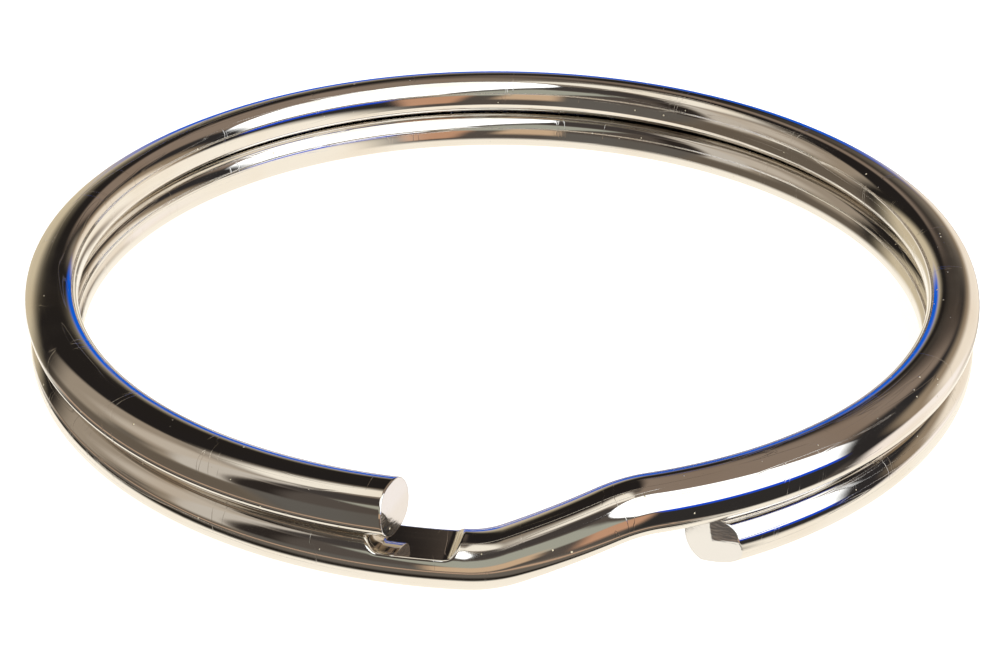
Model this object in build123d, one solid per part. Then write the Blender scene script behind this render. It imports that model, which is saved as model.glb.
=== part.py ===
from build123d import *
from math import cos, degrees, radians, sin
import os

# Split ring: one spring-steel wire, rounded and slightly flattened, wound nearly two turns.
# Two flat coils lie one on the other and a crank at the front joins them.
#
# Millimetres, +Z up. The origin is on the ring's axis, on the surface that the ring lies on.
# Angles are in degrees about +Z from the front (-Y), and grow towards +X (the right).

# Driving dimensions
OUTSIDE_DIAMETER = 25.0
WIRE_WIDTH = 1.32            # across the wire, along the ring's radius
WIRE_HEIGHT = 1.18           # one coil's thickness
WIRE_CORNER_RADIUS = 0.50    # rounding of the flattened wire's section
COIL_CLEARANCE = 0.04        # between the coils, which rest against each other on the real ring

CRANK_START_ANGLE = -3.5     # the wire leaves the lower coil here
CRANK_END_ANGLE = 16.0       # and joins the upper coil here
CRANK_BEND_SHARE = 0.25      # share of the crank's length in each of its two bends
CRANK_SPANS = 12             # sections that shape the crank
UPPER_END_ANGLE = -10.85     # where the upper coil's cut end lies
LOWER_END_ANGLE = 22.3       # where the lower coil's cut end lies

PRESS_DEPTH = 0.24           # flat pressed into the lower coil beside the crank, by the other end
PRESS_ANGLE = 10.6           # length of that flat, in degrees round the ring
PRESS_SETBACK_ANGLE = 0.5    # from the crank's start to the top of the flat's shoulder
PRESS_STEP = 0.16            # run of that shoulder, and the radius at its foot
PRESS_RUN_OUT = 0.54         # run of the flat's gentle far end

SHEAR_ANGLE = 11.0           # the end faces lean from square, the inner edge standing further out
UPPER_BEVEL_ANGLE = 21.0     # lean of the upper end's nipped outer corner
LOWER_BEVEL_ANGLE = 46.0     # lean of the lower end's nipped outer corner
BEVEL_DEPTH = 0.47           # how far each corner is cut back across the wire
END_ALLOWANCE = 0.45         # wire wound past each end and then nipped off

# Worked out from the dimensions above
COIL_RADIUS = (OUTSIDE_DIAMETER - WIRE_WIDTH) / 2
COIL_PITCH = WIRE_HEIGHT + COIL_CLEARANCE
LOWER_COIL_HEIGHT = WIRE_HEIGHT / 2
UPPER_COIL_HEIGHT = LOWER_COIL_HEIGHT + COIL_PITCH
FULL_TURN = 360.0
CRANK_ANGLE = CRANK_END_ANGLE - CRANK_START_ANGLE
CRANK_SLOPE = COIL_PITCH / (radians(CRANK_ANGLE) * COIL_RADIUS)
END_ALLOWANCE_ANGLE = degrees(END_ALLOWANCE / COIL_RADIUS)
LOWER_COIL_SWEEP = FULL_TURN - LOWER_END_ANGLE + CRANK_START_ANGLE + END_ALLOWANCE_ANGLE
UPPER_COIL_SWEEP = FULL_TURN + UPPER_END_ANGLE - CRANK_END_ANGLE + END_ALLOWANCE_ANGLE


def outward(angle):
    """The direction from the axis to this angle round the ring."""
    return Vector(sin(radians(angle)), -cos(radians(angle)), 0)


def onward(angle):
    """The direction along the wire at this angle, towards larger angles."""
    return Vector(cos(radians(angle)), sin(radians(angle)), 0)


def on_coil(angle, height):
    """The wire's centre at this angle and height."""
    return outward(angle) * COIL_RADIUS + Vector(0, 0, height)


def section_at(angle, height, slope=0.0):
    """The wire's section, square to the wire, which climbs at this slope as the angle grows."""
    along = onward(angle) + Vector(0, 0, slope)
    square = Plane(origin=on_coil(angle, height), x_dir=outward(angle), z_dir=along)
    return square * RectangleRounded(WIRE_WIDTH, WIRE_HEIGHT, WIRE_CORNER_RADIUS)


def coil(start_angle, sweep_angle, height):
    """A level coil of wire from this angle on."""
    return revolve(section_at(start_angle, height), axis=Axis.Z, revolution_arc=sweep_angle)


def crank_rise(share):
    """How far up the crank is, and how steeply it climbs, at this share of its length.

    The climb is an easy bend, a straight slope and an easy bend back.
    """
    steepest = 1 / (1 - CRANK_BEND_SHARE)
    if share < CRANK_BEND_SHARE:
        return steepest * share ** 2 / (2 * CRANK_BEND_SHARE), steepest * share / CRANK_BEND_SHARE
    if share > 1 - CRANK_BEND_SHARE:
        left = 1 - share
        return 1 - steepest * left ** 2 / (2 * CRANK_BEND_SHARE), steepest * left / CRANK_BEND_SHARE
    return steepest * (share - CRANK_BEND_SHARE / 2), steepest


def crank():
    """The short stretch that climbs from the lower coil to the upper one."""
    sections = []
    for step in range(CRANK_SPANS + 1):
        share = step / CRANK_SPANS
        rise, steepness = crank_rise(share)
        angle = CRANK_START_ANGLE + CRANK_ANGLE * share
        sections.append(section_at(angle, LOWER_COIL_HEIGHT + COIL_PITCH * rise, steepness * CRANK_SLOPE))
    return loft(sections)


def wound_wire():
    """The whole wire, its ends cut square for now."""
    lower_coil = coil(CRANK_START_ANGLE - LOWER_COIL_SWEEP, LOWER_COIL_SWEEP, LOWER_COIL_HEIGHT)
    upper_coil = coil(CRANK_END_ANGLE, UPPER_COIL_SWEEP, UPPER_COIL_HEIGHT)
    return lower_coil + crank() + upper_coil


def pressed_flat():
    """The block pressed into the top of the lower coil, just before the crank.

    Its floor is level. It rises steeply to the crank's shoulder and runs out gently at the far end.
    """
    shoulder = CRANK_START_ANGLE - PRESS_SETBACK_ANGLE
    half_length = radians(PRESS_ANGLE) * COIL_RADIUS / 2
    side_on = Plane(
        origin=outward(shoulder - PRESS_ANGLE / 2) * COIL_RADIUS,
        x_dir=onward(shoulder - PRESS_ANGLE / 2),
        z_dir=outward(shoulder - PRESS_ANGLE / 2),
    )
    floor = WIRE_HEIGHT - PRESS_DEPTH
    top = WIRE_HEIGHT + COIL_CLEARANCE / 2
    outline = Polygon(
        (-half_length, top),
        (PRESS_RUN_OUT - half_length, floor),
        (half_length - PRESS_STEP, floor),
        (half_length, top),
        align=None,
    )
    foot = outline.vertices().sort_by(Axis.Y)[:2]
    return extrude(side_on * fillet(foot, PRESS_STEP), amount=WIRE_WIDTH, both=True)


def beyond_plane(angle, height, normal, depth_across):
    """All of one coil's level that lies past a plane through the wire, for trimming its end."""
    through = on_coil(angle, height) + outward(angle) * depth_across
    facing = Plane(origin=through, x_dir=(0, 0, 1), z_dir=normal)
    return facing * Box(
        COIL_PITCH,
        3 * WIRE_WIDTH,
        END_ALLOWANCE + WIRE_WIDTH / 2,
        align=(Align.CENTER, Align.CENTER, Align.MIN),
    )


def end_trim(angle, height, heading, bevel_angle):
    """What the nippers take off an end: past the leaning face, and past the outer corner's bevel."""
    cuts = []
    for lean, depth_across in ((SHEAR_ANGLE, 0), (bevel_angle, WIRE_WIDTH / 2 - BEVEL_DEPTH)):
        normal = onward(angle) * heading * cos(radians(lean)) + outward(angle) * sin(radians(lean))
        cuts.append(beyond_plane(angle, height, normal, depth_across))
    return cuts


def split_ring():
    """The wound wire, pressed flat beside the crank, with its ends nipped to length."""
    ring = wound_wire() - pressed_flat()
    for trim in end_trim(UPPER_END_ANGLE, UPPER_COIL_HEIGHT, 1, UPPER_BEVEL_ANGLE):
        ring -= trim
    for trim in end_trim(LOWER_END_ANGLE, LOWER_COIL_HEIGHT, -1, LOWER_BEVEL_ANGLE):
        ring -= trim
    return ring.solid()


ring_wire = split_ring()
ring_wire.label = "ring_wire"
print("solid is valid:", ring_wire.is_valid, " volume, mm3:", round(ring_wire.volume, 2))
print("size, mm:", ring_wire.bounding_box().size)

os.makedirs("parts", exist_ok=True)
export_step(ring_wire, "parts/ring_wire.step")
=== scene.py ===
# %% [markdown]
# A split ring, the kind that holds keys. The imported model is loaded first, and everything below is
# built around it, in the same frame and in metres. The ring lies flat on the floor, its axis is Z,
# and the crank and the two cut ends face the front, along -Y.

# %% Load the frame
import bpy
import numpy as np
from mathutils import Matrix, Vector


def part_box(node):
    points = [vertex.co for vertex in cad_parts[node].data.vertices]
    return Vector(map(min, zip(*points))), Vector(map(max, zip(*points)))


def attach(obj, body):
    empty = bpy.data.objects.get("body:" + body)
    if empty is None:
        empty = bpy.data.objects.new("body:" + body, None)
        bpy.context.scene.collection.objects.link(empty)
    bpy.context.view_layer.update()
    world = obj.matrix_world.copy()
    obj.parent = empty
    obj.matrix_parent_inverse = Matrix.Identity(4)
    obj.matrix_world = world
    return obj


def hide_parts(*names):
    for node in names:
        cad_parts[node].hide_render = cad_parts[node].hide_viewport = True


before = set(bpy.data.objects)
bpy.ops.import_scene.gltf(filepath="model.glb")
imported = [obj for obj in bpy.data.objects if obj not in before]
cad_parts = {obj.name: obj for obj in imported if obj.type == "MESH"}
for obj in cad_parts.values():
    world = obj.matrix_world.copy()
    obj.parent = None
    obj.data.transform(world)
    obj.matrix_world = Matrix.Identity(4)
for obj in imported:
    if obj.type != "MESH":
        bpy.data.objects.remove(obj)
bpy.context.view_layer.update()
cad_low, cad_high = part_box("ring_wire")
print("ring's box, mm:", [round(1000 * side, 3) for side in cad_high - cad_low])

# %% [markdown]
# The ring's own sizes. The outside diameter and the height come from the frame. The rest are the
# wire's sizes, as a wire maker would give them. Angles go round the ring from the front, and grow
# towards the right.

# %% Sizes of the wire and of the winding
MM = 0.001
outside_radius = (cad_high.x - cad_low.x) / 2
ring_height = cad_high.z
wire_width = 1.32 * MM
wire_height = 1.18 * MM
coil_pitch = ring_height - wire_height
coil_radius = outside_radius - wire_width / 2
crank_start, crank_end = np.radians((-3.5, 16.0))
upper_end, lower_end = np.radians((-11.4, 22.6))
first_angle = lower_end - 2 * np.pi
last_angle = upper_end + 2 * np.pi
print("coil radius, mm:", round(coil_radius / MM, 3))
print("turns of wire:", round((last_angle - first_angle) / (2 * np.pi), 3))

# %% [markdown]
# The centre line. It could be a Bezier curve with a bevel, but then the pressed flats and the cut
# ends would need cutting afterwards, which spoils the smooth shading that a mirror finish needs.
# So the wire is worked out as one surface of two parameters: the angle along the winding, and the
# angle round the wire's section. This cell gives the centre line's height and slope.

# %% Centre line: two level coils joined by a crank
bend_share = 0.25


def crank_rise(angle):
    """How far up the crank the centre line is, from 0 to 1, and how steeply it climbs.

    The climb is a parabola, a straight slope and a parabola back, so that its slope never jumps.
    """
    share = np.clip((angle - crank_start) / (crank_end - crank_start), 0, 1)
    steepest = 1 / (1 - bend_share)
    first = steepest * share**2 / (2 * bend_share)
    last = 1 - steepest * (1 - share) ** 2 / (2 * bend_share)
    middle = steepest * (share - bend_share / 2)
    rise = np.where(share < bend_share, first, np.where(share > 1 - bend_share, last, middle))
    steepness = steepest * np.clip(np.minimum(share, 1 - share) / bend_share, 0, 1)
    return rise, steepness


def along_wire(angle, outward, upward):
    """Points at these offsets from the centre line.

    The point is the axis, plus the coil's radius and the outward offset along the radius, plus the
    upward offset along the direction square to both the radius and the climbing wire.
    """
    rise, steepness = crank_rise(angle)
    slope = steepness * coil_pitch / ((crank_end - crank_start) * coil_radius)
    tilt = np.arctan(slope)
    radial = np.stack([np.sin(angle), -np.cos(angle), np.zeros_like(angle)], -1)
    onward = np.stack([np.cos(angle), np.sin(angle), np.zeros_like(angle)], -1)
    vertical = np.array([0.0, 0.0, 1.0])
    square = np.cos(tilt)[..., None] * vertical - np.sin(tilt)[..., None] * onward
    height = wire_height / 2 + coil_pitch * rise
    return (
        (coil_radius + outward)[..., None] * radial
        + height[..., None] * vertical
        + upward[..., None] * square
    )


# %% [markdown]
# The wire's section. Split-ring wire is drawn round and then rolled a little flat, so its section is
# fuller than an ellipse and softer than a rounded rectangle. A superellipse has that shape, and its
# curvature has no jumps, so the reflections run smoothly over it.

# %% Section of the wire
section_fullness = 2.5
points_round = 96


def wire_section(turn):
    """The section's outline: at each angle, the distance where |x|^n + |y|^n reaches 1."""
    across, up = np.cos(turn), np.sin(turn)
    spread = np.abs(across / (wire_width / 2)) ** section_fullness
    spread = spread + np.abs(up / (wire_height / 2)) ** section_fullness
    reach = spread ** (-1 / section_fullness)
    return reach * across, reach * up


# the seam starts at the wire's underside, where it is hidden
section_turn = np.linspace(0, 2 * np.pi, points_round, endpoint=False) - np.pi / 2
section_out, section_up = wire_section(section_turn)
print("section, mm:", round(np.ptp(section_out) / MM, 3), "x", round(np.ptp(section_up) / MM, 3))

# %% [markdown]
# Left of the crank the lower coil is pressed flat under the other end, so that a key can be started
# there. The press leaves a level floor, a steep shoulder at the crank and a short run-out. A cutting
# tool would leave a hard edge, and a mirror finish shows a hard edge as a broken line. So the flat is
# worked out as a limit on the height of the section, with a small smooth blend into the round.

# %% Flat pressed beside the crank
press_depth = 0.24 * MM
press_shoulder = np.radians(0.45)
press_foot = np.radians(1.5)
press_length = np.radians(10.6)
press_run_out = np.radians(2.6)
press_slant = np.radians(0.5) / MM
press_blend = 0.045 * MM


def smooth_step(share):
    """0 below 0, 1 above 1, and the curve 3t^2 - 2t^3 between them."""
    share = np.clip(share, 0, 1)
    return share * share * (3 - 2 * share)


def press_share(beyond):
    """How far the flat is pressed in, at this angle beyond the shoulder's top.

    It drops as 1 - (1 - t)^3, steep at the shoulder and level at the foot, then runs out smoothly.
    """
    down = 1 - (1 - np.clip(beyond / press_foot, 0, 1)) ** 3
    return down * smooth_step((press_length - beyond) / press_run_out)


def smooth_low(first, second, blend):
    """The lower of two heights, rounded off where they cross within the blend."""
    share = np.clip(0.5 + 0.5 * (second - first) / blend, 0, 1)
    return second + (first - second) * share - blend * share * (1 - share)


def pressed_section(angle, out, up):
    """Heights over the section after pressing: only the top of the lower coil is changed."""
    pressed = press_share(crank_start - press_shoulder - press_slant * out - angle)
    roof = wire_height / 2 + press_blend - (press_depth + press_blend) * pressed
    return np.where(pressed > 0, smooth_low(up, roof, press_blend), up)


flat_ends = np.degrees(crank_start - press_shoulder - np.array([press_length, 0]))
print("flat reaches from", np.round(flat_ends, 1), "degrees, mm deep:", round(press_depth / MM, 2))

# %% [markdown]
# Each end was nipped off with cutters. The main face stands nearly square to the wire, and the jaw
# leaves bevels at the outer corner. Every face is a plane, so the end is the lowest of several
# planes, each giving how far the wire still stands at a place on its section.

# %% Ends nipped by cutters
edge_radius = 0.018 * MM

# each facet: how far it stands at the centre in mm, how much it falls outwards and upwards, and the
# blend in mm where it meets the others
upper_end_facets = (
    (0.115, 0.19, 0.20, 0.02),
    (0.105, 0.19, 0.05, 0.02),
    (0.190, 0.38, 0.04, 0.01),
)
lower_end_facets = (
    (0.06, 0.205, 0.05, 0.02),
    (0.24, 0.95, 0.30, 0.02),
    (0.26, 1.15, -0.30, 0.03),
)


def end_standing(out, up, facets):
    """How far the wire stands past its nominal end at this place on its section."""
    standing = np.full(np.shape(out), 1.0)
    for at_centre, fall_out, fall_up, blend in facets:
        plane = at_centre * MM - fall_out * out - fall_up * up
        standing = smooth_low(plane, standing, blend * MM)
    return standing


for name, facets in (("upper end", upper_end_facets), ("lower end", lower_end_facets)):
    standing = end_standing(section_out, section_up, facets) / MM
    print(name, "stands from", round(standing.min(), 2), "to", round(standing.max(), 2), "mm")

# %% [markdown]
# The rows along the wire lie close together at the crank, the flats and the ends, where the shape
# changes, and further apart round the coils. Both ends are closed by rings that shrink to a point.

# %% Rows along the wire
fine_step, coarse_step = np.radians((0.16, 1.5))
end_reach = np.radians(7.0)


def stretch(start, stop, step):
    """Angles from start up to, but not including, stop, about a step apart."""
    count = max(2, int(round((stop - start) / step)))
    return start + (stop - start) * np.arange(count) / count


row_angles = np.concatenate([
    stretch(first_angle, first_angle + end_reach, fine_step),
    stretch(first_angle + end_reach, crank_start - np.radians(16), coarse_step),
    stretch(crank_start - np.radians(16), crank_end + np.radians(16), fine_step),
    stretch(crank_end + np.radians(16), last_angle - end_reach, coarse_step),
    stretch(last_angle - end_reach, last_angle, fine_step),
    [last_angle],
])
cap_shares = np.concatenate([[0.985], np.linspace(0.96, 0.04, 24)])
print("rows along the wire:", len(row_angles), " rings on each end:", len(cap_shares))


# %% Grid of the whole surface
def end_shift(angles, nominal, heading, facets):
    """Angle to add to each row near an end so that the last row lies on the cut's edge."""
    nearness = 1 - np.abs(angles - nominal) / end_reach
    standing = end_standing(section_out, section_up, facets) - edge_radius
    share = np.clip(nearness, 0, 1)[:, None] ** 2
    return heading * share * standing[None, :] / coil_radius


def end_cap(nominal, heading, facets):
    """Rings of a cut face, from its edge inwards: the section shrunk, on the cut's planes."""
    out = cap_shares[:, None] * section_out[None, :]
    up = cap_shares[:, None] * section_up[None, :]
    angle = nominal + heading * end_standing(out, up, facets) / coil_radius
    return angle, out, up


side_angle = row_angles[:, None] + np.zeros(points_round)
side_angle = side_angle + end_shift(row_angles, last_angle, 1, upper_end_facets)
side_angle = side_angle + end_shift(row_angles, first_angle, -1, lower_end_facets)
side_out = np.broadcast_to(section_out, side_angle.shape)
side_up = pressed_section(side_angle, side_out, np.broadcast_to(section_up, side_angle.shape))

first_cap = [part[::-1] for part in end_cap(first_angle, -1, lower_end_facets)]
last_cap = end_cap(last_angle, 1, upper_end_facets)
grid_angle = np.concatenate([first_cap[0], side_angle, last_cap[0]])
grid_out = np.concatenate([first_cap[1], side_out, last_cap[1]])
grid_up = np.concatenate([first_cap[2], side_up, last_cap[2]])
grid_points = along_wire(grid_angle, grid_out, grid_up)
print("grid:", grid_points.shape)

# %% [markdown]
# The grid becomes one closed mesh. Quads join each row to the next and wrap round the section, and a
# fan closes the middle of each end.

# %% Mesh of the ring
row_count = len(grid_points)
corner = np.arange(row_count * points_round).reshape(row_count, points_round)
next_round = np.roll(corner, -1, axis=1)
quads = np.stack([corner[:-1], corner[1:], next_round[1:], next_round[:-1]], -1).reshape(-1, 4)
centre_places = []
for nominal, heading, facets in (
    (first_angle, -1, lower_end_facets),
    (last_angle, 1, upper_end_facets),
):
    standing = end_standing(np.zeros(1), np.zeros(1), facets)
    centre_places.append(along_wire(nominal + heading * standing / coil_radius, np.zeros(1), np.zeros(1)))
first_centre = row_count * points_round
last_centre = first_centre + 1
first_fan = np.stack([np.full(points_round, first_centre), corner[0], next_round[0]], -1)
last_fan = np.stack([np.full(points_round, last_centre), next_round[-1], corner[-1]], -1)
all_points = np.concatenate([grid_points.reshape(-1, 3), *centre_places])
faces = quads.tolist() + first_fan.tolist() + last_fan.tolist()

ring_mesh = bpy.data.meshes.new("nickel_ring")
ring_mesh.from_pydata(all_points.tolist(), [], faces)
ring_mesh.polygons.foreach_set("use_smooth", np.ones(len(faces), bool))
print("triangles:", 2 * len(quads) + 2 * points_round)

# %% [markdown]
# The finish needs to know two things that the position alone can't tell. One is which points lie on
# a cut face. The other is the place in the wire's own directions: outwards, upwards and along, in
# millimetres. Drawn wire is streaked along its length, so the streaks must follow the coil. A place
# across the section has no seam, unlike an unrolled map.

# %% Values kept on the points
on_cut = np.zeros((row_count, points_round))
on_cut[: len(cap_shares)] = 1
on_cut[-len(cap_shares) :] = 1
cut_values = np.append(on_cut.ravel(), (1, 1)).astype(np.float32)
cut_attribute = ring_mesh.attributes.new("cut_face", "FLOAT", "POINT")
cut_attribute.data.foreach_set("value", cut_values)

wire_place = np.stack([grid_out / MM, grid_up / MM, grid_angle * coil_radius / MM], -1)
end_places = [(0, 0, wire_place[0, 0, 2]), (0, 0, wire_place[-1, 0, 2])]
wire_place = np.append(wire_place.reshape(-1, 3), end_places, axis=0).astype(np.float32)
place_attribute = ring_mesh.attributes.new("wire_place", "FLOAT_VECTOR", "POINT")
place_attribute.data.foreach_set("vector", wire_place.ravel())
print("length of wire, mm:", round(float(np.ptp(wire_place[:, 2])), 1))

# %% Object, and its volume, which is positive when the faces point outwards
nickel_ring = bpy.data.objects.new("nickel_ring", ring_mesh)
bpy.context.scene.collection.objects.link(nickel_ring)
ring_mesh.update()
ring_mesh.calc_loop_triangles()
triangles = np.empty(3 * len(ring_mesh.loop_triangles), np.int32)
ring_mesh.loop_triangles.foreach_get("vertices", triangles)
tips = all_points[triangles.reshape(-1, 3)]
volume = np.einsum("ij,ij->i", tips[:, 0], np.cross(tips[:, 1], tips[:, 2])).sum() / 6
print("volume, mm3, positive when the faces point outwards:", round(volume / MM**3, 1))

# %% [markdown]
# The finishes are built from shader nodes. These three helpers add a node, a sum and a soft step, so
# that each later cell reads as what it makes and not as wiring.

# %% Helpers for shader nodes
def place(tree, kind, inputs=None, **settings):
    """Add a shader node, set its options, and link or set its inputs."""
    node = tree.nodes.new("ShaderNode" + kind)
    for option, choice in settings.items():
        setattr(node, option, choice)
    for name, value in (inputs or {}).items():
        socket = node.inputs[name]
        if isinstance(value, bpy.types.NodeSocket):
            tree.links.new(value, socket)
        else:
            socket.default_value = value
    return node


def calc(tree, operation, *values):
    """Add a Math node and return its result."""
    return place(tree, "Math", dict(enumerate(values)), operation=operation).outputs[0]


def soft_step(tree, value, start, stop):
    """0 below start and 1 above stop, with a smooth rise between them."""
    limits = {"Value": value, "From Min": start, "From Max": stop}
    return place(tree, "MapRange", limits, interpolation_type="SMOOTHSTEP").outputs["Result"]


def new_group(name, inputs, output):
    """Start a node group with named inputs and one number as its output."""
    group = bpy.data.node_groups.new(name, "ShaderNodeTree")
    for title, kind in inputs.items():
        group.interface.new_socket(title, in_out="INPUT", socket_type="NodeSocket" + kind)
    group.interface.new_socket(output, in_out="OUTPUT", socket_type="NodeSocketFloat")
    return group, group.nodes.new("NodeGroupInput").outputs, group.nodes.new("NodeGroupOutput").inputs


# %% [markdown]
# Specks: dust grains are scattered round dots of uneven size. A painted image of them would show its
# grid close up. A cell pattern gives each cell one dot, keeps a share of them at random, and stays
# sharp at any size.

# %% Group: specks
specks, given, made = new_group(
    "specks",
    {"Place": "Vector", "Cells per mm": "Float", "Kept Share": "Float", "Radius": "Float"},
    "Mask",
)
cells = place(specks, "TexVoronoi", {"Vector": given["Place"], "Scale": given["Cells per mm"]})
chance = place(specks, "SeparateColor", {"Color": cells.outputs["Color"]}).outputs
kept = calc(specks, "LESS_THAN", chance["Red"], given["Kept Share"])
size = calc(specks, "MULTIPLY_ADD", chance["Green"], 0.7, 0.3)
radius = calc(specks, "MULTIPLY", calc(specks, "MULTIPLY", given["Radius"], given["Cells per mm"]), size)
dot = soft_step(specks, calc(specks, "DIVIDE", cells.outputs["Distance"], radius), 1.0, 0.6)
specks.links.new(calc(specks, "MULTIPLY", dot, kept), made["Mask"])
print("group:", specks.name, "takes", [socket.name for socket in given if socket.name])

# %% [markdown]
# Hairlines: fine scratches are thin lines that start and stop. A noise has long smooth contours, and
# the thin band round its middle value is such a line. A second, coarser noise breaks it up. Stretching
# the place first decides which way the scratches run.

# %% Group: hairlines
hairlines, given, made = new_group(
    "hairlines", {"Place": "Vector", "Width": "Float", "Kept Share": "Float"}, "Mask"
)
wander = place(hairlines, "TexNoise", {"Vector": given["Place"], "Scale": 1.0, "Detail": 1.0})
off_line = calc(hairlines, "ABSOLUTE", calc(hairlines, "SUBTRACT", wander.outputs["Fac"], 0.5))
line = calc(hairlines, "SUBTRACT", 1.0, soft_step(hairlines, off_line, 0.0, given["Width"]))
breaks = place(hairlines, "TexNoise", {"Vector": given["Place"], "Scale": 0.31, "Detail": 0.0})
edge = calc(hairlines, "SUBTRACT", 0.72, calc(hairlines, "MULTIPLY", given["Kept Share"], 0.5))
shown = soft_step(hairlines, breaks.outputs["Fac"], edge, calc(hairlines, "ADD", edge, 0.08))
hairlines.links.new(calc(hairlines, "MULTIPLY", line, shown), made["Mask"])
print("group:", hairlines.name, "takes", [socket.name for socket in given if socket.name])

# %% [markdown]
# Nickel plate. It is a mirror a little warmer than silver. What makes it look real is what disturbs
# the mirror: the drawn wire's faint waves and streaks under the plate, hairlines from keys, smudges
# that dull it in patches, and dust. This cell reads the two kept values and stretches
# the wire's own directions for each purpose.

# %% Nickel: places to work from
nickel = bpy.data.materials.new("bright_nickel")
nickel.use_nodes = True
tree = nickel.node_tree
shader = tree.nodes["Principled BSDF"]
along_place = place(tree, "Attribute", attribute_name="wire_place").outputs["Vector"]
cut = place(tree, "Attribute", attribute_name="cut_face").outputs["Fac"]
object_place = place(tree, "TexCoord").outputs["Object"]
in_mm = place(tree, "VectorMath", {0: object_place, "Scale": 1000.0}, operation="SCALE").outputs[0]


def stretched(outward, upward, onward):
    """The wire's own place, stretched by these numbers of features per millimetre."""
    factors = {0: along_place, 1: (outward, upward, onward)}
    return place(tree, "VectorMath", factors, operation="MULTIPLY").outputs[0]


def noise(where, scale, detail):
    """A smooth random value, mostly between 0.3 and 0.7."""
    return place(tree, "TexNoise", {"Vector": where, "Scale": scale, "Detail": detail}).outputs["Fac"]


def marks(group, **numbers):
    """A mask from one of the groups above, with its inputs given by name."""
    inputs = {name.replace("_", " "): value for name, value in numbers.items()}
    return place(tree, "Group", inputs, node_tree=group).outputs["Mask"]


# %% Nickel: the marks
streaks = noise(stretched(7, 7, 0.12), 1.0, 1.0)
long_lines = marks(hairlines, Place=stretched(4.2, 4.2, 0.22), Width=0.018, Kept_Share=0.45)
cross_lines = marks(hairlines, Place=stretched(0.7, 0.7, 4.4), Width=0.016, Kept_Share=0.30)
dust = marks(specks, Place=in_mm, Cells_per_mm=4.6, Kept_Share=0.20, Radius=0.030)
smudges = soft_step(tree, noise(in_mm, 0.55, 2.0), 0.46, 0.62)
shear_lines = noise(stretched(5, 22, 8), 1.0, 1.0)
scratches = calc(tree, "MAXIMUM", long_lines, calc(tree, "MULTIPLY", cross_lines, 0.8))
off_cut = calc(tree, "SUBTRACT", 1.0, cut)
scratches = calc(tree, "MULTIPLY", scratches, off_cut)
print("marks on the nickel: streaks, hairlines both ways, dust, smudges, shear lines")

# %% [markdown]
# Colour: the plate is warm grey, a little browner where it is tarnished. The nipped faces are bare
# steel, which is greyer. Dust is pale straw and isn't metal, so it also lowers the metal value.

# %% Nickel: colour
plate_colour = (0.80, 0.77, 0.72, 1)
tarnish_colour = (0.74, 0.67, 0.58, 1)
steel_colour = (0.78, 0.77, 0.76, 1)
dust_colour = (0.88, 0.76, 0.50, 1)
tarnish = calc(tree, "MULTIPLY", soft_step(tree, noise(in_mm, 0.35, 1.0), 0.45, 0.75), 0.6)


def blended(share, first, second):
    """Mix two colours."""
    inputs = {"Factor": share, "A": first, "B": second}
    return place(tree, "Mix", inputs, data_type="RGBA").outputs["Result"]


colour = blended(tarnish, plate_colour, tarnish_colour)
colour = blended(cut, colour, steel_colour)
colour = blended(dust, colour, dust_colour)
tree.links.new(colour, shader.inputs["Base Color"])
tree.links.new(calc(tree, "SUBTRACT", 1.0, dust), shader.inputs["Metallic"])

# %% [markdown]
# Roughness: the clean plate is nearly a perfect mirror. Smudges and streaks dull it slightly, while
# scratches, bare steel and dust dull it more.

# %% Nickel: roughness
plate_roughness = 0.035
smudge_dulling = 0.045
streak_dulling = 0.03
scratch_dulling = 0.16
steel_dulling = 0.10
dust_dulling = 0.5

roughness = calc(tree, "MULTIPLY_ADD", smudges, smudge_dulling, plate_roughness)
roughness = calc(tree, "MULTIPLY_ADD", soft_step(tree, streaks, 0.5, 0.7), streak_dulling, roughness)
roughness = calc(tree, "MULTIPLY_ADD", scratches, scratch_dulling, roughness)
roughness = calc(tree, "MULTIPLY_ADD", cut, steel_dulling, roughness)
roughness = calc(tree, "MULTIPLY_ADD", dust, dust_dulling, roughness)
tree.links.new(roughness, shader.inputs["Roughness"])

# %% [markdown]
# Relief, all of it as heights in millimetres in one sum. The wave and the streaks are under the
# plate, the scratches are cut into it, the shear lines are only on the nipped faces, and the dust
# stands on top.

# %% Nickel: relief
wave_height = 0.0040
streak_height = 0.0003
grain_height = 0.00006
scratch_depth = 0.0012
shear_height = 0.006
dust_height = 0.02

relief = calc(tree, "MULTIPLY", noise(stretched(0.9, 0.9, 0.30), 1.0, 0.0), wave_height)
relief = calc(tree, "MULTIPLY_ADD", streaks, streak_height, relief)
relief = calc(tree, "MULTIPLY_ADD", noise(in_mm, 16.0, 0.0), grain_height, relief)
relief = calc(tree, "MULTIPLY_ADD", scratches, -scratch_depth, relief)
relief = calc(tree, "MULTIPLY_ADD", calc(tree, "MULTIPLY", shear_lines, cut), shear_height, relief)
relief = calc(tree, "MULTIPLY_ADD", dust, dust_height, relief)
bump = place(tree, "Bump", {"Height": relief, "Distance": MM, "Strength": 1.0})
tree.links.new(bump.outputs["Normal"], shader.inputs["Normal"])
ring_mesh.materials.append(nickel)
print("nodes in the nickel:", len(tree.nodes))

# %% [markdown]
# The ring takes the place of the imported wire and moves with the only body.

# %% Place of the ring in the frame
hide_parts("ring_wire")
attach(nickel_ring, "root")
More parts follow.
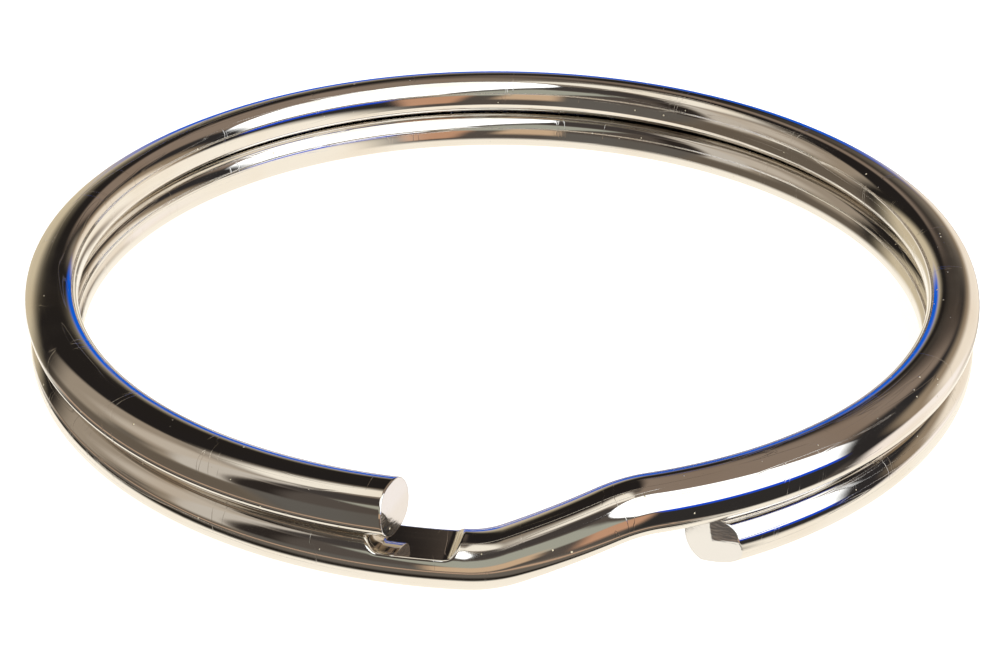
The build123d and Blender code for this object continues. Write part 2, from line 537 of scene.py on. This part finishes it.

# %% [markdown]
# The floor is a wide pale sheet. It glows enough to be nearly white by itself, and the rest of its
# brightness is light falling on it, so the ring still leaves a soft shadow. The shadow is slightly
# cream because the glow is painted warmer than the sheet: a painted cream tint in the shade.
#
# The metal is shown a different floor from the one that is seen directly. This is a shortcut with a
# cost: the bands on the wire come partly from here and not from the finish, so they are lost in any
# other setting. A plain solid sheet, which the metal shows too, is the sounder way.
#
# To the metal only two parts of the sheet are solid. One is a bright patch inside the ring, at the
# back left. The other is a band round the foot of the wire, painted cream, dark, brown and tan.
# Everywhere else the sheet is clear to reflections, and the studio below gives the rest of the ground.

# %% Floor
floor_radius = 0.12
floor_turn = np.linspace(0, 2 * np.pi, 64, endpoint=False)
floor_rim = floor_radius * np.stack([np.cos(floor_turn), np.sin(floor_turn), 0 * floor_turn], -1)
floor_mesh = bpy.data.meshes.new("floor")
floor_mesh.from_pydata(floor_rim.tolist(), [], [list(range(len(floor_rim)))])
floor = bpy.data.objects.new("floor", floor_mesh)
bpy.context.scene.collection.objects.link(floor)

# %% Floor's finish: as seen directly
# the glow is warmer than the sheet's own colour, so it paints a cream tint into the ring's shadow
shade_tint_glow_colour = (0.80, 0.775, 0.735, 1)
sheet_colour = (0.62, 0.66, 0.72, 1)
pale_sheet = bpy.data.materials.new("pale_sheet")
pale_sheet.use_nodes = True
tree = pale_sheet.node_tree
tree.nodes.clear()
glow = place(tree, "Emission", {"Color": shade_tint_glow_colour, "Strength": 1.0}).outputs[0]
sheet = place(tree, "BsdfDiffuse", {"Color": sheet_colour}).outputs[0]
seen_sheet = place(tree, "AddShader", {0: glow, 1: sheet}).outputs[0]

# %% Floor's finish: as seen in the metal
cream_light = (1.15, 1.08, 0.96, 1)
dark_light = (0.018, 0.015, 0.012, 1)
brown_light = (0.16, 0.14, 0.12, 1)
tan_light = (0.74, 0.50, 0.34, 1)
light_patch_centre = (-0.0060, 0.0080, 0.0)
light_patch_radius = 0.0046
band_inner = 10.6
band_inner_full = 11.0
band_outer = 13.45
band_widening = 0.65
band_half_soft = 0.25

where = place(tree, "TexCoord").outputs["Object"]
from_axis = place(tree, "VectorMath", {0: where}, operation="LENGTH").outputs["Value"]
from_axis = calc(tree, "DIVIDE", from_axis, MM)
sides = place(tree, "SeparateXYZ", {0: where}).outputs
in_front = soft_step(tree, calc(tree, "MULTIPLY", sides["Y"], -1.0), 0.003, 0.006)
not_right = soft_step(tree, sides["X"], 0.0068, 0.0045)
lined = calc(tree, "MULTIPLY", in_front, not_right)


def ring_line(inner, outer, soft):
    """The mask of a ring on the sheet between these radii in mm, only at the front and left."""
    starts = soft_step(tree, from_axis, inner - soft, inner + soft)
    stops = soft_step(tree, from_axis, outer + soft, outer - soft)
    return calc(tree, "MULTIPLY", calc(tree, "MULTIPLY", starts, stops), lined)


band_colour = blended(ring_line(13.0, 14.4, 0.10), cream_light, brown_light)
band_colour = blended(ring_line(13.0, 13.25, 0.10), band_colour, dark_light)
band_colour = blended(ring_line(13.72, 13.88, 0.12), band_colour, tan_light)
band_glow = place(tree, "Emission", {"Color": band_colour}).outputs[0]
band_edge = calc(tree, "MULTIPLY_ADD", lined, band_widening, band_outer)
past_edge = calc(tree, "SUBTRACT", from_axis, band_edge)
past_inner = soft_step(tree, from_axis, band_inner, band_inner_full)
before_outer = soft_step(tree, past_edge, band_half_soft, -band_half_soft)
in_band = calc(tree, "MULTIPLY", past_inner, before_outer)
from_patch = place(tree, "VectorMath", {0: where, 1: light_patch_centre}, operation="DISTANCE")
from_patch = from_patch.outputs["Value"]
lit = soft_step(tree, from_patch, light_patch_radius, 0.45 * light_patch_radius)
patch_glow = place(tree, "Emission", {"Color": cream_light}).outputs[0]
clear = place(tree, "BsdfTransparent").outputs[0]
mirrored = place(tree, "MixShader", {0: lit, 1: clear, 2: patch_glow}).outputs[0]
mirrored = place(tree, "MixShader", {0: in_band, 1: mirrored, 2: band_glow}).outputs[0]
rays = place(tree, "LightPath").outputs
either = place(tree, "MixShader", {0: rays["Is Glossy Ray"], 1: seen_sheet, 2: mirrored}).outputs[0]
place(tree, "OutputMaterial", {"Surface": either})
floor_mesh.materials.append(pale_sheet)
print("floor: radius", floor_radius, "m, nodes:", len(tree.nodes))

# %% [markdown]
# A mirror shows only its surroundings, so the studio matters as much as the metal. The studio is a
# set of cards hung all round, given by direction: azimuth from the front, growing to the right, and
# elevation above the floor, both in degrees. Real cards would also have a place and a size, but a ring
# this small sees nearly the same view from everywhere on it. The camera sees plain white instead, and
# the metal doesn't show that white, which is the same shortcut as in the floor.

# %% Studio: directions
world = bpy.data.worlds.new("studio")
bpy.context.scene.world = world
world.use_nodes = True
studio = world.node_tree
studio.nodes.clear()
toward = place(studio, "TexCoord").outputs["Generated"]
toward = place(studio, "SeparateXYZ", {0: toward}).outputs
backwards = calc(studio, "MULTIPLY", toward["Y"], -1.0)
azimuth = calc(studio, "DEGREES", calc(studio, "ARCTAN2", toward["X"], backwards))
elevation = calc(studio, "DEGREES", calc(studio, "ARCSINE", toward["Z"]))

# %% [markdown]
# A card's mask is the product of four soft steps, one for each edge. Its upright edges may lean, which
# steers the band that the card makes along the wire.

# %% Group: card
card_inputs = ("Azimuth", "Elevation", "Left", "Right", "Low", "High", "Softness", "Lean Left", "Lean Right")
card, given, made = new_group("card", dict.fromkeys(card_inputs, "Float"), "Mask")
centre = calc(card, "MULTIPLY", calc(card, "ADD", given["Left"], given["Right"]), 0.5)
aside = calc(card, "WRAP", calc(card, "SUBTRACT", given["Azimuth"], centre), 180.0, -180.0)
half_width = calc(card, "SUBTRACT", given["Right"], centre)
lean_left = calc(card, "MULTIPLY", given["Lean Left"], given["Elevation"])
lean_right = calc(card, "MULTIPLY", given["Lean Right"], given["Elevation"])
half_soft = calc(card, "MULTIPLY", given["Softness"], 0.5)
past_edges = (
    calc(card, "SUBTRACT", calc(card, "ADD", half_width, aside), lean_left),
    calc(card, "ADD", calc(card, "SUBTRACT", half_width, aside), lean_right),
    calc(card, "SUBTRACT", given["Elevation"], given["Low"]),
    calc(card, "SUBTRACT", given["High"], given["Elevation"]),
)
mask = 1.0
for past_edge in past_edges:
    step = soft_step(card, past_edge, calc(card, "MULTIPLY", half_soft, -1.0), half_soft)
    mask = calc(card, "MULTIPLY", mask, step)
card.links.new(mask, made["Mask"])

# %% [markdown]
# There is an oval card as well, for bands that bend round and close.

# %% Group: oval
oval_inputs = ("Azimuth", "Elevation", "Across", "Up", "Radius", "Flatness", "Softness")
oval, given, made = new_group("oval", dict.fromkeys(oval_inputs, "Float"), "Mask")
aside = calc(oval, "WRAP", calc(oval, "SUBTRACT", given["Azimuth"], given["Across"]), 180.0, -180.0)
above = calc(oval, "MULTIPLY", calc(oval, "SUBTRACT", given["Elevation"], given["Up"]), given["Flatness"])
away = calc(oval, "SQRT", calc(oval, "MULTIPLY_ADD", aside, aside, calc(oval, "MULTIPLY", above, above)))
half_soft = calc(oval, "MULTIPLY", given["Softness"], 0.5)
inside = calc(oval, "SUBTRACT", given["Radius"], away)
oval.links.new(soft_step(oval, inside, calc(oval, "MULTIPLY", half_soft, -1.0), half_soft), made["Mask"])


# %% [markdown]
# Colours of the cards are given as they look on a screen, from 0 to 255, after one reflection in the
# plate. This cell turns such a colour into light, undoing the screen's curve and the plate's colour.

# %% Studio: colours
def light(red, green, blue, strength=1.0):
    """The light that shows on screen as this colour once the plate has reflected it."""
    shown = np.array((red, green, blue)) / 255
    linear = np.where(shown < 0.04, shown / 12.92, ((shown + 0.055) / 1.055) ** 2.4)
    return (*(strength * linear / plate_colour[:3]).tolist(), 1.0)


room_colour = light(82, 74, 67)
print("room's light:", [round(part, 3) for part in room_colour[:3]])

# %% [markdown]
# The cards, from the furthest to the nearest. The tall window to the front right makes the broad
# white bands. The dark ones next to it matter just as much, because bright metal looks bright only
# beside black.

# %% Studio: cards
cards = (
    # name, left, right, low, high, softness, lean left, lean right, light
    ("dim ceiling", -200, 200, 66, 100, 12, 0, 0, light(128, 116, 102)),
    ("bright ceiling, left", -165, -78, 57, 88, 14, 0, 0, light(240, 230, 212)),
    ("left wall", -200, -60, -48, 55, 16, 0, 0, light(150, 136, 118)),
    ("left wall, lit", -100, -60, 12, 52, 20, 0, 0, light(186, 173, 156)),
    ("left wall, edge", -74, -60, -16, 60, 6, 0, 0, light(190, 180, 166)),
    ("left shade", -92, -78, -44, 0, 12, 0.3, 0.3, light(104, 94, 82)),
    ("left wall, foot", -150, -56, -56, -16, 14, 0, 0, light(98, 87, 74)),
    ("dark back", -215, -130, 24, 55, 10, 0, 0, light(34, 30, 28)),
)
ovals = (
    # name, across, up, radius, flatness, softness, light
    ("left arch", -158, 0, 44, 1.17, 12, light(34, 30, 27)),
    ("left arch, inside", -160, -6, 32, 1.17, 16, light(196, 180, 150)),
)
near_cards = (
    ("doorway", -59, -47, -12, 34, 7, 0, 0, light(44, 38, 34)),
    ("front wall, foot", -56, -14, -60, -12, 12, 0, 0, light(94, 89, 82)),
    ("dark beam", -62, -12, 38, 70, 10, 0, 0, light(64, 58, 54)),
    ("ceiling, right", 96, 180, 30, 75, 8, 0, 0, light(132, 115, 100)),
    ("window", 20, 80, -5, 90, 3, -0.68, 0.36, light(255, 255, 252, 1.5)),
    ("window, top", -8, 92, 54, 90, 10, 0, 0, light(255, 250, 236, 1.2)),
    ("blue sill", 27, 80, -14, -5, 5, -0.7, 0, light(10, 75, 210)),
    ("black below window", 32, 86, -90, -13, 6, 0, 0, light(46, 43, 41)),
)
near_ovals = (
    ("right arch", 119, 0, 42, 0.93, 8, light(44, 41, 40)),
    ("right arch, inside", 130, 0, 37, 1.28, 12, light(144, 126, 104)),
    ("right arch, lit wall", 136, -4, 27, 1.2, 14, light(234, 219, 198)),
    ("right counter", 114, -29, 20, 1.3, 10, light(246, 234, 222)),
)
nearest_cards = (
    ("right counter, side", 108, 182, -60, -28, 12, 0, 0, light(240, 226, 208)),
    ("green pane", -14, 14, -12, 32, 7, -0.75, -0.75, light(158, 157, 142)),
    ("copper lamp", 6, 31, -34, -10, 6, -0.3, 0, light(188, 143, 112)),
    ("front tan", -16, -4, -24, -4, 6, 0, -0.3, light(196, 166, 134)),
    ("pale ground", -200, 200, -100, -52, 7, 0, 0, light(248, 236, 216)),
    ("blue edge at back", 162, 198, -12, 14, 8, 0, 0, light(20, 90, 200)),
)


def hang(colour, group, names, cards):
    """Lay these cards over the studio's colour so far, one by one."""
    for name, *numbers, card_light in cards:
        inputs = {"Azimuth": azimuth, "Elevation": elevation, **dict(zip(names, numbers))}
        mask = place(studio, "Group", inputs, node_tree=group, label=name).outputs["Mask"]
        mix = {"Factor": mask, "A": colour, "B": card_light}
        colour = place(studio, "Mix", mix, data_type="RGBA").outputs["Result"]
    return colour


colour = hang(room_colour, card, card_inputs[2:], cards)
colour = hang(colour, oval, oval_inputs[2:], ovals)
colour = hang(colour, card, card_inputs[2:], near_cards)
colour = hang(colour, oval, oval_inputs[2:], near_ovals)
colour = hang(colour, card, card_inputs[2:], nearest_cards)
print("cards in the studio:", sum(map(len, (cards, ovals, near_cards, near_ovals, nearest_cards))))

# %% Studio: white for the camera
surroundings = place(studio, "Background", {"Color": colour}).outputs[0]
white = place(studio, "Background", {"Color": (1, 1, 1, 1)}).outputs[0]
seen_directly = place(studio, "LightPath").outputs["Is Camera Ray"]
mixed = place(studio, "MixShader", {0: seen_directly, 1: surroundings, 2: white}).outputs[0]
place(studio, "OutputWorld", {"Surface": mixed})

# %% [markdown]
# One soft round lamp above and behind lays the shadow towards the front left. It is hidden from
# reflections, so the metal doesn't show it.

# %% Lamp
lamp_data = bpy.data.lights.new("soft_lamp", "AREA")
lamp_data.shape = "DISK"
lamp_data.size = 0.08
lamp_data.energy = 0.05
lamp = bpy.data.objects.new("soft_lamp", lamp_data)
lamp.location = (0.05, 0.04, 0.12)
lamp.rotation_euler = (-lamp.location).to_track_quat("-Z", "Y").to_euler()
lamp.visible_glossy = False
bpy.context.scene.collection.objects.link(lamp)

# %% [markdown]
# The camera stands close, about four coil radii away and thirty degrees above the floor, which is
# why the back of the ring looks so much smaller than the front.

# %% Camera
view_distance = 4.296 * coil_radius
view_elevation, view_pitch, view_yaw, view_roll = np.radians((29.13, 29.62, -0.07, 0.49))
camera_data = bpy.data.cameras.new("camera")
camera_data.sensor_width = 36
camera_data.lens = 67
camera_data.clip_start = 0.001
camera = bpy.data.objects.new("camera", camera_data)
stand = Vector((0, -view_distance * np.cos(view_elevation), view_distance * np.sin(view_elevation)))
turn = Matrix.Rotation(-view_yaw, 4, "Z") @ Matrix.Rotation(np.pi / 2 - view_pitch, 4, "X")
camera.matrix_world = Matrix.Translation(stand) @ turn @ Matrix.Rotation(view_roll, 4, "Z")
bpy.context.scene.collection.objects.link(camera)
bpy.context.scene.camera = camera
bpy.context.scene.view_settings.view_transform = "Standard"
print("camera stands at, mm:", [round(1000 * side, 1) for side in stand])
